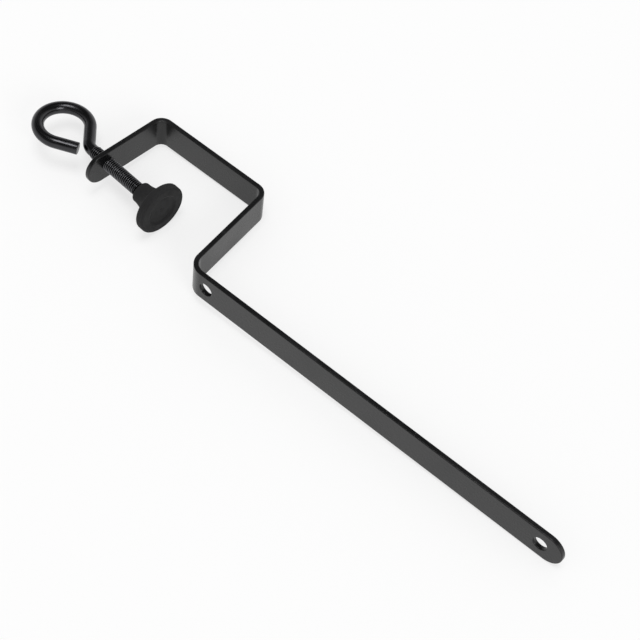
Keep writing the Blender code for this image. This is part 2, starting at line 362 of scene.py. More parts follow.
def setback(turn, radius):
    """Distance from a bend's corner to where it begins."""
    return radius * math.tan(abs(turn) / 2)


def strip_route(strip):
    """Runs and bends of the mid-line from the lower arm's tip: (length, turn)."""
    bends = strip_bends(strip)
    corners = (
        strip.lower_arm_length,
        strip.back_length,
        strip.upper_arm_length,
        strip.post_length,
    )
    setbacks = [0.0] + [setback(turn, radius) for turn, radius in bends] + [0.0]
    route = []
    for i, corner_length in enumerate(corners):
        route.append((corner_length - setbacks[i] - setbacks[i + 1], 0.0))
        if i < len(bends):
            turn, radius = bends[i]
            route.append((radius * abs(turn), turn))
    return route


def blank_length(strip):
    return sum(run for run, turn in strip_route(strip))


def strip_places(strip):
    """Function from a distance along the strip to the matrix of its place.

    X runs along the strip, Y out of its outer or upper face and Z across it.
    """
    route = strip_route(strip)
    first_heading = RIGHT_ANGLE - strip.lower_arm_splay

    def walk(distance, point):
        heading = complex(math.cos(first_heading), math.sin(first_heading))
        for run, turn in route:
            step = min(distance, run)
            if turn:
                side = 1j * run / turn
                point += side * heading
                heading *= complex(math.cos(turn * step / run), math.sin(turn * step / run))
                point -= side * heading
            else:
                point += step * heading
            distance -= step
            if distance <= 0.0:
                break
        return point, heading

    start = strip.post_length - walk(blank_length(strip), 0j)[0]

    def place(distance):
        point, heading = walk(distance, start)
        middle = Matrix.Translation((point.real, point.imag, strip.width / 2))
        return middle @ Matrix.Rotation(math.atan2(heading.imag, heading.real), 4, "Z")

    return place


def bend_stations(strip, steps):
    """Distances along the strip at which a bend begins, ends or is divided."""
    stations = []
    travelled = 0.0
    for run, turn in strip_route(strip):
        if turn:
            stations += [travelled + run * i / steps for i in range(steps + 1)]
        travelled += run
    return stations


def resting_matrix():
    return Matrix.Translation(RESTING_PLACE) @ Euler(RESTING_TURN).to_matrix().to_4x4()


def tapped_hole_along(strip):
    """Distance of the tapped hole along the strip."""
    return strip.lower_arm_length - strip.screw_from_back


def screw_in_blank(strip, screw):
    """The screw's frame in the flat blank: X out of the inner face, Y towards the back."""
    hole = Matrix.Translation((tapped_hole_along(strip), 0.0, 0.0))
    return hole @ STRIP_TO_SCREW @ Matrix.Rotation(screw.eye_turn, 4, "X")


def screw_matrix(strip, turn):
    """The screw's frame as the clamp lies, turned by an angle about the screw's axis."""
    in_strip = strip_places(strip)(tapped_hole_along(strip)) @ STRIP_TO_SCREW
    return resting_matrix() @ in_strip @ Matrix.Rotation(turn, 4, "X")


def bar_with_round_ends(strip, fineness):
    """The plain blank along +X, with its width centred on Z = 0."""
    radius = strip.width / 2
    mid = strip.thickness / 2
    far = blank_length(strip) - radius
    steps = fineness.tip_steps
    outline = arc((radius, 0.0), radius, RIGHT_ANGLE, 3 * RIGHT_ANGLE, steps)
    outline += arc((far, 0.0), radius, -RIGHT_ANGLE, RIGHT_ANGLE, steps)
    bm = bmesh.new()
    face = bm.faces.new([bm.verts.new((x, -mid, z)) for x, z in outline])
    top = bmesh.ops.extrude_face_region(bm, geom=[face])["geom"]
    top_verts = [item for item in top if isinstance(item, bmesh.types.BMVert)]
    bmesh.ops.translate(bm, verts=top_verts, vec=(0.0, strip.thickness, 0.0))
    bmesh.ops.recalc_face_normals(bm, faces=bm.faces)
    return mesh_from(bm, "bracket")


def cord_hole_cutter(strip, distance, sides):
    """The punch of a cord hole, square through the blank at a distance along it."""
    radius = strip.cord_hole_diameter / 2
    reach = 2 * strip.thickness
    profile = [(-reach, 0.0), (-reach, radius), (reach, radius), (reach, 0.0)]
    cutter = new_object("cord_hole", turned_solid(profile, sides, "cord_hole"))
    square = Matrix.Rotation(RIGHT_ANGLE, 4, "Z")
    cutter.matrix_world = Matrix.Translation((distance, 0.0, 0.0)) @ square
    return cutter


def drill_cutter(strip, sides):
    """The tapping drill with a countersink at each face, along X."""
    drill = strip.drill_diameter / 2
    mid = strip.thickness / 2
    bottom = mid - strip.countersink
    reach = mid + strip.thickness
    mouth = drill + reach - bottom
    profile = [(-reach, 0.0), (-reach, mouth), (-bottom, drill)]
    profile += [(bottom, drill), (reach, mouth), (reach, 0.0)]
    return new_object("tapping_drill", turned_solid(profile, sides, "tapping_drill"))


def tap_cutter(strip, screw, foot, fineness):
    """The screw's own thread a little larger, in step with it, to cut the thread in the hole."""
    pitch = screw.pitch
    thread_start = thread_place(screw, foot)[0]
    reach = strip.thickness / 2 + TAP_OVERRUN * pitch
    start = thread_start + pitch * math.floor((-reach - thread_start) / pitch)
    root = screw.root_diameter / 2
    lengths = (
        2 * abs(start),
        pitch,
        screw.thread_diameter / 2 + strip.tap_clearance,
        root + strip.tap_clearance,
        root,
        root,
        pitch / 2,
        pitch / 2,
    )
    bm = bmesh.new()
    bm.from_mesh(rolled_thread(fineness, lengths))
    open_ends = [edge for edge in bm.edges if edge.is_boundary]
    bmesh.ops.holes_fill(bm, edges=open_ends)
    bmesh.ops.recalc_face_normals(bm, faces=bm.faces)
    bmesh.ops.translate(bm, verts=bm.verts, vec=(start, 0.0, 0.0))
    return new_object("tap", mesh_from(bm, "tap"))


def add_cut(ob, cutter):
    cut = ob.modifiers.new(cutter.name, "BOOLEAN")
    cut.operation = "DIFFERENCE"
    cut.solver = "EXACT"
    cut.object = cutter


def worked_blank(strip, screw, foot, fineness):
    """The flat blank with its cord holes, rounded edges and tapped hole."""
    blank = new_object("blank", bar_with_round_ends(strip, fineness))
    whole = blank_length(strip)
    post_start = whole - strip_route(strip)[-1][0]
    low_hole = post_start + strip.low_hole_land + strip.cord_hole_diameter / 2
    top_hole = whole - strip.top_hole_from_tip
    punches = [
        cord_hole_cutter(strip, distance, fineness.hole_sides)
        for distance in (low_hole, top_hole)
    ]
    for punch in punches:
        add_cut(blank, punch)
    edges = blank.modifiers.new("rounded_edges", "BEVEL")
    edges.width = strip.edge_round
    edges.segments = fineness.edge_steps
    edges.limit_method = "ANGLE"
    edges.angle_limit = ROUNDED_ON_BLANK
    threading = [drill_cutter(strip, fineness.rod_sides), tap_cutter(strip, screw, foot, fineness)]
    for tool in threading:
        tool.matrix_world = screw_in_blank(strip, screw)
        add_cut(blank, tool)
    bpy.context.view_layer.update()
    mesh = finished_mesh(blank)
    for ob in [blank] + punches + threading:
        bpy.data.objects.remove(ob, do_unlink=True)
    return mesh


def bent_strip(strip, screw, foot, fineness):
    """Bend the blank, and keep each point's flat place in the attribute "blank"."""
    bm = bmesh.new()
    bm.from_mesh(worked_blank(strip, screw, foot, fineness))
    bmesh.ops.remove_doubles(bm, verts=bm.verts, dist=CUT_SLIVER)
    bmesh.ops.dissolve_degenerate(bm, dist=CUT_SLIVER, edges=bm.edges)
    for station in bend_stations(strip, fineness.bend_steps):
        bmesh.ops.bisect_plane(
            bm,
            geom=list(bm.verts) + list(bm.edges) + list(bm.faces),
            dist=ON_PLANE,
            plane_co=(station, 0.0, 0.0),
            plane_no=(1.0, 0.0, 0.0),
        )
    flat = bm.verts.layers.float_vector.new("blank")
    place = strip_places(strip)
    lying = resting_matrix()
    for vert in bm.verts:
        vert[flat] = vert.co
        along, out, across = vert.co
        vert.co = lying @ place(along) @ Vector((0.0, out, across))
    mesh = mesh_from(bm, "bracket")
    smooth_to_crisp_edges(mesh, CRISP_ON_STRIP)
    return mesh


# The screw


def socket_radius(screw, foot):
    return screw.ball_diameter / 2 + foot.ball_clearance


def ball_behind_face(screw, foot):
    """Distance from the foot's face to the ball's centre."""
    return foot.recess_depth + foot.face_wall + socket_radius(screw, foot)


def stem_bend_start(screw):
    """Where the wire leaves the screw's axis."""
    return setback(screw.stem_angle, screw.stem_bend_radius) - screw.stem_corner


def thread_place(screw, foot):
    """Outer and inner end of the thread on the screw's axis."""
    outer = stem_bend_start(screw) + screw.thread_runout
    return outer, foot.face - foot.height - foot.shoulder_gap


def eye_centre(screw):
    """Where the eye's centre lies for the stem to run into its circle as a tangent."""
    return -screw.stem_corner - screw.eye_radius / math.sin(screw.stem_angle)


def tail_end(screw):
    """Middle of the wire's cut end, whose inner corner keeps the eye's gap to the stem."""
    wire = screw.wire_diameter / 2
    tail = screw.tail_angle
    stem = screw.stem_angle
    aim = eye_centre(screw) + screw.eye_radius / math.sin(tail)
    beside_stem = wire + screw.eye_gap + wire * math.cos(stem + tail)
    short = (beside_stem + (screw.stem_corner + aim) * math.sin(stem)) / math.sin(stem + tail)
    return aim - short * math.cos(tail), -short * math.sin(tail)


def eye_path(screw, fineness):
    """Mid-line of the wire from the start of the stem's bend to the start of the tail."""
    stem = screw.stem_angle
    bend = screw.stem_bend_radius
    bend_centre = (stem_bend_start(screw), bend)
    path = arc(bend_centre, bend, -RIGHT_ANGLE, -RIGHT_ANGLE - stem, fineness.stem_steps)
    round_end = 3 * RIGHT_ANGLE + screw.tail_angle
    centre = (eye_centre(screw), 0.0)
    path += arc(centre, screw.eye_radius, RIGHT_ANGLE - stem, round_end, fineness.eye_steps)
    return path


def rod_stations(screw, foot, fineness):
    """(x, y, heading x, heading y, radius) from the thread's outer end to the cut end."""
    wire = screw.wire_diameter / 2
    path = [(thread_place(screw, foot)[0], 0.0)] + eye_path(screw, fineness)
    end = Vector(tail_end(screw))
    into_tail = (end - Vector(path[-1])).normalized()
    edge = screw.cut_round
    path.append(tuple(end - into_tail * edge))
    stations = []
    for i, point in enumerate(path):
        before = Vector(path[max(i - 1, 0)])
        after = Vector(path[min(i + 1, len(path) - 1)])
        heading = (after - before).normalized()
        stations.append((*point, *heading, wire))
    for i in range(1, fineness.cut_steps + 1):
        turned = RIGHT_ANGLE * i / fineness.cut_steps
        across = edge * (1 - math.cos(turned))
        on = end - into_tail * edge * (1 - math.sin(turned))
        stations.append((*on, *into_tail, wire - across))
    # The first ring stands exactly square on the thread's axis.
    stations[0] = (*path[0], -1.0, 0.0, wire)
    return stations


def ball_stations(screw, foot, fineness):
    """(x, y, heading x, heading y, radius) from the thread's inner end to the ball's tip."""
    ball = screw.ball_diameter / 2
    neck = screw.neck_diameter / 2
    centre = (foot.face - ball_behind_face(screw, foot), 0.0)
    neck_angle = math.pi - math.asin(neck / ball)
    points = [(thread_place(screw, foot)[1], neck)]
    points += arc(centre, ball, neck_angle, BALL_LAST_RING, fineness.ball_steps)
    return [(x, 0.0, 1.0, 0.0, radius) for x, radius in points]


def add_node(tree, kind, *values, named=None, **settings):
    """Add a node with its settings, and fill or link its inputs in order or by name.

    A node given as a value stands for its first output.
    """
    node = tree.nodes.new(kind)
    for name, value in settings.items():
        setattr(node, name, value)
    for key, value in (*enumerate(values), *(named or {}).items()):
        if isinstance(value, bpy.types.Node):
            value = value.outputs[0]
        if isinstance(value, bpy.types.NodeSocket):
            tree.links.new(value, node.inputs[key])
        else:
            node.inputs[key].default_value = value
    return node


def thread_tree():
    """Geometry Nodes tree of a right-hand rolled thread along +X, open at both ends.

    A grid's rows follow the helix. Points past an end are pulled back to it, where the
    radius is the end's own, so both ends are plain circles.
    """
    tree = bpy.data.node_groups.new("Rolled thread", "GeometryNodeTree")
    interface = tree.interface
    for name in THREAD_LENGTHS:
        socket = interface.new_socket(name, in_out="INPUT", socket_type="NodeSocketFloat")
        socket.subtype = "DISTANCE"
    for name in ("Rows per turn", "Sides"):
        interface.new_socket(name, in_out="INPUT", socket_type="NodeSocketInt")
    interface.new_socket("Material", in_out="INPUT", socket_type="NodeSocketMaterial")
    interface.new_socket("Thread", in_out="OUTPUT", socket_type="NodeSocketGeometry")
    add = partial(add_node, tree)
    given = add("NodeGroupInput").outputs
    whole, pitch, crest, root, outer_end, inner_end, chamfer, runout = [
        given[name] for name in THREAD_LENGTHS
    ]

    # A grid of whole rows, at least one pitch longer than the thread, and one turn wide
    row = add(MATH, pitch, given["Rows per turn"], operation="DIVIDE")
    swept = add(MATH, whole, pitch, operation="ADD")
    rows_needed = add(MATH, swept, row, operation="DIVIDE")
    rows = add(MATH, rows_needed, operation="CEIL")
    size = add(MATH, rows, row, operation="MULTIPLY")
    row_points = add(MATH, rows, 1.0, operation="ADD")
    side_points = add(MATH, given["Sides"], 1.0, operation="ADD")
    grid = add("GeometryNodeMeshGrid", size, 1.0, row_points, side_points)

    # Each point's turn round the axis and its place along it
    place = add("ShaderNodeSeparateXYZ", add("GeometryNodeInputPosition"))
    turns = add(MATH, place.outputs["Y"], 0.5, operation="ADD")
    half_size = add(MATH, size, 2.0, operation="DIVIDE")
    on_grid = add(MATH, place.outputs["X"], half_size, operation="ADD")
    shift = add(MATH, on_grid, pitch, operation="SUBTRACT")
    reach = add(MATH, turns, pitch, shift, operation="MULTIPLY_ADD")
    along = add("ShaderNodeClamp", reach, 0.0, whole)

    # The thread's section, from its bottom over the flank to its crest
    pitches = add(MATH, shift, pitch, operation="DIVIDE")
    phase = add(MATH, pitches, operation="FRACT")
    both_sides = add(MATH, phase, 2.0, -1.0, operation="MULTIPLY_ADD")
    from_root = add(MATH, both_sides, operation="ABSOLUTE")
    flank = add(MAP_RANGE, from_root, ROOT_FLAT, 1.0 - CREST_FLAT, **SMOOTH)
    depth = add(MATH, crest, root, operation="SUBTRACT")
    thread = add(MATH, flank, depth, root, operation="MULTIPLY_ADD")

    # It fades into the wire at the outer end, and has a cone at the inner one.
    faded_part = add(MATH, along, runout, operation="DIVIDE")
    fade = add(MATH, faded_part, 1.0, operation="MINIMUM")
    above_wire = add(MATH, thread, outer_end, operation="SUBTRACT")
    faded = add(MATH, fade, above_wire, outer_end, operation="MULTIPLY_ADD")
    to_end = add(MATH, whole, along, operation="SUBTRACT")
    rise = add(MATH, crest, inner_end, operation="SUBTRACT")
    slope = add(MATH, rise, chamfer, operation="DIVIDE")
    cone = add(MATH, to_end, slope, inner_end, operation="MULTIPLY_ADD")
    radius = add(MATH, faded, cone, operation="MINIMUM")

    # The grid wound round the axis and closed along its seam
    angle = add(MATH, turns, FULL_TURN, operation="MULTIPLY")
    cosine = add(MATH, angle, operation="COSINE")
    sine = add(MATH, angle, operation="SINE")
    across = add(MATH, radius, cosine, operation="MULTIPLY")
    up = add(MATH, radius, sine, operation="MULTIPLY")
    point = add("ShaderNodeCombineXYZ", along, across, up)
    wound = add("GeometryNodeSetPosition", grid, named={"Position": point})
    closed = add("GeometryNodeMergeByDistance", wound, named={"Distance": SAME_POINT})
    smooth = add("GeometryNodeSetShadeSmooth", closed)
    real = add("GeometryNodeRealizeInstances", smooth)
    dressed = add("GeometryNodeSetMaterial", real, named={"Material": given["Material"]})
    add("NodeGroupOutput", dressed)
    return tree


def rolled_thread(fineness, lengths, material=None):
    """Mesh of a thread from the node tree, its lengths given in the order of their names."""
    tree = bpy.data.node_groups.get("Rolled thread") or thread_tree()
    inputs = dict(zip(THREAD_LENGTHS, lengths))
    inputs["Rows per turn"] = fineness.thread_rows
    inputs["Sides"] = fineness.rod_sides
    if material:
        inputs["Material"] = material
    ob = new_object("thread", bpy.data.meshes.new("thread"))
    modifier = ob.modifiers.new("thread", "NODES")
    modifier.node_group = tree
    sockets = {item.name: item for item in tree.interface.items_tree if item.in_out == "INPUT"}
    for name, value in inputs.items():
        modifier[sockets[name].identifier] = value
    mesh = finished_mesh(ob)
    bpy.data.objects.remove(ob, do_unlink=True)
    return mesh


def add_rod(bm, stations, sides, first_along, direction):
    """Sweep a round rod along stations, and close it at the last one.

    The attribute "wire" gets each point's place on the straight wire, along which the sweep
    goes forwards (1) or backwards (-1).
    """
    unrolled = bm.verts.layers.float_vector["wire"]
    rings = []
    along = first_along
    for i, (x, y, dx, dy, radius) in enumerate(stations):
        if i:
            along += direction * math.dist(stations[i - 1][:2], (x, y))
        ring = []
        for j in range(sides):
            angle = FULL_TURN * j / sides
            across = radius * math.cos(angle)
            up = radius * math.sin(angle)
            side = across * direction
            vert = bm.verts.new((x - dy * side, y + dx * side, up))
            vert[unrolled] = (along, across, up)
            ring.append(vert)
        rings.append(ring)
    for low, high in zip(rings, rings[1:]):
        for j in range(sides):
            k = (j + 1) % sides
            bm.faces.new((low[j], low[k], high[k], high[j]))
    end_face = bm.faces.new(rings[-1])
    bmesh.ops.poke(bm, faces=[end_face])


def eye_screw(strip, screw, foot, fineness, steel):
    """The whole screw: rolled thread, ball end and eye, with the straight wire's own
    coordinates in the attribute "wire"."""
    outer, inner = thread_place(screw, foot)
    lengths = (
        inner - outer,
        screw.pitch,
        screw.thread_diameter / 2,
        screw.root_diameter / 2,
        screw.wire_diameter / 2,
        screw.neck_diameter / 2,
        screw.thread_chamfer,
        screw.thread_runout,
    )
    bm = bmesh.new()
    bm.from_mesh(rolled_thread(fineness, lengths, steel))
    unrolled = bm.verts.layers.float_vector.new("wire")
    for vert in bm.verts:
        vert.co.x += outer
        vert[unrolled] = vert.co
    sides = fineness.rod_sides
    add_rod(bm, rod_stations(screw, foot, fineness), sides, outer, -1)
    add_rod(bm, ball_stations(screw, foot, fineness), sides, inner, 1)
    bmesh.ops.remove_doubles(bm, verts=bm.verts, dist=SAME_RING)
    bmesh.ops.recalc_face_normals(bm, faces=bm.faces)
    bmesh.ops.transform(bm, matrix=screw_matrix(strip, screw.eye_turn), verts=bm.verts)
    mesh = mesh_from(bm, "clamp_screw")
    smooth_to_crisp_edges(mesh, CRISP_ON_SCREW)
    return mesh


# The foot


def foot_profile(screw, foot, fineness):
    """Half section of the foot, as (distance behind its face, radius), from its face's middle."""
    outer = foot.diameter / 2
    edge = foot.edge_round
    depth = foot.recess_depth
    mark = foot.mark_depth
    gate = foot.gate_radius
    mouth = screw.neck_diameter / 2 + foot.neck_clearance
    neck = mouth + foot.neck_wall
    socket = socket_radius(screw, foot)

    # The gate's nub and the dimple round it, in the middle of the recess
    profile = [(depth - 2 * mark, 0.0), (depth - 2 * mark, gate - mark), (depth - mark, gate)]
    profile += [(depth + 2 * mark, gate), (depth + 2 * mark, 2 * gate)]
    profile.append((depth, 2 * gate + 2 * mark))

    # The recess's bottom corner, its sloping side and its lip
    corner = foot.recess_corner
    lip = foot.recess_lip
    recess = outer - foot.land_width
    bottom = (depth - corner, recess - depth - corner)
    profile += arc(bottom, corner, 0.0, EIGHTH_TURN, fineness.recess_steps)
    profile += arc((lip, recess + lip), lip, -3 * EIGHTH_TURN, -math.pi, fineness.recess_steps)

    # The rim's front edge, the parting line round its middle and its back edge
    profile += arc((edge, outer - edge), edge, math.pi, RIGHT_ANGLE, fineness.rim_steps)
    middle = foot.rim / 2
    profile += [(middle - mark, outer), (middle, outer - mark), (middle + mark, outer)]
    back = (foot.rim - edge, outer - edge)
    profile += arc(back, edge, RIGHT_ANGLE, foot.rim_back, fineness.rim_back_steps)

    # The flare, a quarter of an ellipse
    flare_length = foot.height - edge - foot.rim
    flare_depth = outer - edge - neck
    for i in range(1, fineness.flare_steps + 1):
        turned = RIGHT_ANGLE * i / fineness.flare_steps
        behind = foot.rim + flare_length * (1 - math.cos(turned))
        profile.append((behind, outer - edge - flare_depth * math.sin(turned)))

    # The neck's rounded end, its mouth and the socket
    end = (foot.height - edge, neck - edge)
    profile += arc(end, edge, RIGHT_ANGLE, 0.0, fineness.neck_steps)[1:]
    profile.append((foot.height, mouth + foot.mouth_chamfer))
    profile.append((foot.height - foot.mouth_chamfer, mouth))
    centre = (ball_behind_face(screw, foot), 0.0)
    profile += arc(centre, socket, math.asin(mouth / socket), math.pi, fineness.ball_steps)
    return profile


def moulded_foot(strip, screw, foot, fineness):
    """The foot as it sits on the ball, with its face towards the upper arm."""
    section = foot_profile(screw, foot, fineness)
    profile = [(foot.face - behind, radius) for behind, radius in section]
    mesh = turned_solid(profile, fineness.foot_sides, "pressure_foot")
    mesh.transform(screw_matrix(strip, 0.0))
    smooth_to_crisp_edges(mesh, CRISP_ON_FOOT)
    return mesh


# Materials


def emptied(owner):
    """Empty the node tree of a material or world, and return what adds nodes to it."""
    owner.use_nodes = True
    owner.node_tree.nodes.clear()
    return partial(add_node, owner.node_tree)


def shade(rgb, factor):
    """A colour made lighter or darker, with alpha."""
    return (*[min(c * factor, 1.0) for c in rgb], 1.0)


def powder_coat(strip):
    """Black polyester powder coat, sprayed on the bent strip and baked: a satin skin with a
    fine orange peel, rubbed greyer and smoother in patches along its rounded edges."""
    material = bpy.data.materials.new("Black powder coat")
    add = emptied(material)
    flat = add("ShaderNodeAttribute", attribute_name="blank").outputs["Vector"]
    in_mm = add("ShaderNodeVectorMath", flat, operation="SCALE", named={"Scale": 1 / MM})

    # Uneven spraying clouds the film's colour and gloss over some 20 mm.
    cloud = add(NOISE, named={"Vector": in_mm, "Scale": 1 / 20, "Detail": 3.0})
    dark, light = shade(strip.coat_colour, 0.75), shade(strip.coat_colour, 1.25)
    clouded = {"Factor": cloud, MIX_FIRST: dark, MIX_SECOND: light}
    tint = add(MIX, data_type="RGBA", named=clouded).outputs[MIX_RESULT]
    gloss = add(MAP_RANGE, cloud, NOISE_LOW, NOISE_HIGH, 0.21, 0.33)

    # Handling rubs patches of about 4 mm on the last half millimetre before each long edge.
    across = add("ShaderNodeSeparateXYZ", in_mm).outputs["Z"]
    from_middle = add(MATH, across, operation="ABSOLUTE")
    half_mm = strip.width / 2 / MM
    at_edge = add(MAP_RANGE, from_middle, half_mm - 0.5, half_mm - 0.1, **SMOOTH)
    rub = add(NOISE, named={"Vector": in_mm, "Scale": 1 / 4, "Detail": 4.0})
    patches = add(MAP_RANGE, rub, 0.5, 0.72, 0.0, 0.7)
    worn = add(MATH, at_edge, patches, operation="MULTIPLY")
    rubbed = {"Factor": worn, MIX_FIRST: tint, MIX_SECOND: shade(strip.coat_colour, 3.2)}
    skin = add(MIX, data_type="RGBA", named=rubbed).outputs[MIX_RESULT]
    roughness = add(MATH, worn, -0.1, gloss, operation="MULTIPLY_ADD")

    # Orange peel in waves of 0.9 mm and about 0.02 mm deep, and a grain of 0.18 mm. Both are
    # at the coarse end of real ones, since finer ones wouldn't show.
    peel = add(NOISE, named={"Vector": in_mm, "Scale": 1 / 0.9, "Detail": 2.0})
    grain = add(NOISE, named={"Vector": in_mm, "Scale": 1 / 0.18, "Detail": 1.0})
    waves = add(MATH, peel, 0.045, operation="MULTIPLY")
    height_mm = add(MATH, grain, 0.012, waves, operation="MULTIPLY_ADD")
    bump = add("ShaderNodeBump", named={"Distance": MM, "Height": height_mm})
    surface = {"Base Color": skin, "Roughness": roughness, "IOR": 1.45, "Normal": bump}
    add("ShaderNodeOutputMaterial", add("ShaderNodeBsdfPrincipled", named=surface))
    return material


def blackened_steel(screw):
    """Drawn steel wire with a rolled thread, black oxide finish: a dark metal with fine
    lengthwise draw lines, burnished brighter on the thread's crests."""
    material = bpy.data.materials.new("Black oxide steel")
    add = emptied(material)
    wire = add("ShaderNodeAttribute", attribute_name="wire").outputs["Vector"]
    in_mm = add("ShaderNodeVectorMath", wire, operation="SCALE", named={"Scale": 1 / MM})

    # The oxide's bloom changes over 3 mm.
    bloom = add(NOISE, named={"Vector": in_mm, "Scale": 1 / 3, "Detail": 3.0})
    dark, light = shade(screw.steel_colour, 0.7), shade(screw.steel_colour, 1.3)
    bloomed = {"Factor": bloom, MIX_FIRST: dark, MIX_SECOND: light}
    tint = add(MIX, data_type="RGBA", named=bloomed).outputs[MIX_RESULT]

    # The tapped hole burnishes the outer 0.2 mm of the crests, and nothing of the bent wire.
    place = add("ShaderNodeSeparateXYZ", in_mm).outputs
    square = add(MATH, place["Y"], 2.0, operation="POWER")
    squares = add(MATH, place["Z"], place["Z"], square, operation="MULTIPLY_ADD")
    radius = add(MATH, squares, operation="SQRT")
    crest_mm = screw.thread_diameter / 2 / MM
    crest = add(MAP_RANGE, radius, crest_mm - 0.22, crest_mm - 0.04, 0.0, 0.9)
    bend_mm = -(screw.stem_corner - screw.stem_bend_radius / 2) / MM
    on_thread = add(MATH, place["X"], bend_mm, operation="GREATER_THAN")
    burnish = add(MATH, crest, on_thread, operation="MULTIPLY")
    crests = {"Factor": burnish, MIX_FIRST: tint, MIX_SECOND: shade(screw.crest_colour, 1.0)}
    skin = add(MIX, data_type="RGBA", named=crests).outputs[MIX_RESULT]

    # Draw lines 8 mm long, 0.25 mm apart and up to 0.015 mm deep. Real ones are about a tenth
    # as wide and deep, and wouldn't show.
    drawn = add("ShaderNodeMapping", named={"Vector": in_mm, "Scale": (1 / 8, 4.0, 4.0)})
    lines = add(NOISE, named={"Vector": drawn, "Scale": 1.0, "Detail": 2.0})
    roughness = add(MAP_RANGE, lines, NOISE_LOW, NOISE_HIGH, 0.18, 0.32)
    bump = add("ShaderNodeBump", named={"Distance": 0.015 * MM, "Height": lines})
    surface = {"Base Color": skin, "Metallic": 1.0, "Roughness": roughness, "Normal": bump}
    add("ShaderNodeOutputMaterial", add("ShaderNodeBsdfPrincipled", named=surface))
    return material


def moulded_plastic(foot):
    """Black polyethylene, injection moulded in a spark-eroded tool: matt, with a fine even
    grain and faint flow marks."""
    material = bpy.data.materials.new("Black moulded plastic")
    add = emptied(material)
    place = add("ShaderNodeTexCoord").outputs["Object"]
    in_mm = add("ShaderNodeVectorMath", place, operation="SCALE", named={"Scale": 1 / MM})

    # Flow marks of 5 mm, in colour and gloss
    flow = add(NOISE, named={"Vector": in_mm, "Scale": 1 / 5, "Detail": 2.0, "Distortion": 0.6})
    dark, light = shade(foot.plastic_colour, 0.8), shade(foot.plastic_colour, 1.2)
    marked = {"Factor": flow, MIX_FIRST: dark, MIX_SECOND: light}
    tint = add(MIX, data_type="RGBA", named=marked).outputs[MIX_RESULT]
    roughness = add(MAP_RANGE, flow, NOISE_LOW, NOISE_HIGH, 0.75, 0.88)

    # The tool's grain, drawn 0.22 mm across where a real one is nearer 0.05 mm, so that it
    # shows close up
    grain = add(NOISE, named={"Vector": in_mm, "Scale": 1 / 0.22, "Detail": 1.0})
    bump = add("ShaderNodeBump", named={"Distance": 0.03 * MM, "Height": grain})
    surface = {"Base Color": tint, "Roughness": roughness, "IOR": 1.5, "Normal": bump}
    add("ShaderNodeOutputMaterial", add("ShaderNodeBsdfPrincipled", named=surface))
    return material


def seen_rays(add):
    """1 for what the camera sees, straight, mirrored or through glass, and 0 for diffuse light."""
    path = add("ShaderNodeLightPath").outputs
    mirrored, through = path["Is Glossy Ray"], path["Is Transmission Ray"]
    bounced = add(MATH, mirrored, through, operation="MAXIMUM")
    return add(MATH, path["Is Camera Ray"], bounced, operation="MAXIMUM")


def studio_room(stage):
    """World with white walls that darken towards the ceiling, and a plain level of room light."""
    world = bpy.data.worlds.new("Studio")
    add = emptied(world)
    direction = add("ShaderNodeTexCoord").outputs["Generated"]
    height = add("ShaderNodeSeparateXYZ", direction).outputs["Z"]
    # Heights as sines of the elevation
    wall_top, ceiling = 0.15, 0.6
    dark = stage.ceiling_level
    walls = add(MAP_RANGE, height, wall_top, ceiling, 1.0, dark, **SMOOTH)
    level = add(MAP_RANGE, seen_rays(add), 0.0, 1.0, stage.room_level, walls)
    add("ShaderNodeOutputWorld", add("ShaderNodeBackground", WHITE, level))
    return world


def pale_floor(stage):
    """Matt pale sheet, lit from below as well: a white ground that keeps the shadows."""
    material = bpy.data.materials.new("Pale backlit sheet")
    add = emptied(material)
    glow = add(MATH, seen_rays(add), stage.floor_glow, operation="MULTIPLY")
    surface = {
        "Base Color": shade(stage.floor_colour, 1.0),
        "Roughness": 0.95,
        "Specular IOR Level": 0.0,
        "Emission Color": WHITE,
        "Emission Strength": glow,
    }
    add("ShaderNodeOutputMaterial", add("ShaderNodeBsdfPrincipled", named=surface))
    return material


# Operators


def settings(scene):
    """The groups of settings that the pieces need."""
    return (
        scene.net_clamp_strip,
        scene.net_clamp_screw,
        scene.net_clamp_foot,
        scene.net_clamp_fineness,
    )


def dress(ob, material):
    """Give a mesh this one material, and none that it had from the making."""
    ob.data.materials.clear()
    ob.data.materials.append(material)


def check_box(ob, node):
    """Stop if a piece doesn't fill the box of the frame's node that it replaces."""
    low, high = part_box(node)
    corners = [vert.co for vert in ob.data.vertices]
    for i in range(3):
        gap_low = abs(min(corner[i] for corner in corners) - low[i])
        gap_high = abs(max(corner[i] for corner in corners) - high[i])
        if max(gap_low, gap_high) > BOX_TOLERANCE:
            raise RuntimeError(f"{node} isn't where the frame has it: {gap_low}, {gap_high}")


class NETCLAMP_OT_bracket(bpy.types.Operator):
    """Make the bent steel strip with its post, cord holes and tapped hole"""

    bl_idname = "net_clamp.bracket"
    bl_label = "Bracket"

    def execute(self, context):
        strip, screw, foot, fineness = settings(context.scene)
        bracket = new_object("bent_strip", bent_strip(strip, screw, foot, fineness))
        even = bracket.modifiers.new("even_faces", "WEIGHTED_NORMAL")
        even.keep_sharp = True
        even.weight = 100
        dress(bracket, powder_coat(strip))
        check_box(bracket, "bracket")
        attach(bracket, "bracket")
        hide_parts("bracket")
        return {"FINISHED"}


class NETCLAMP_OT_screw(bpy.types.Operator):
    """Make the eye screw with its rolled thread and ball end"""

    bl_idname = "net_clamp.screw"
    bl_label = "Eye screw"

    def execute(self, context):
        strip, screw, foot, fineness = settings(context.scene)
        steel = blackened_steel(screw)
        piece = new_object("eye_screw", eye_screw(strip, screw, foot, fineness, steel))
        dress(piece, steel)
        check_box(piece, "clamp_screw")
        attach(piece, "screw")
        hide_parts("clamp_screw")
        return {"FINISHED"}


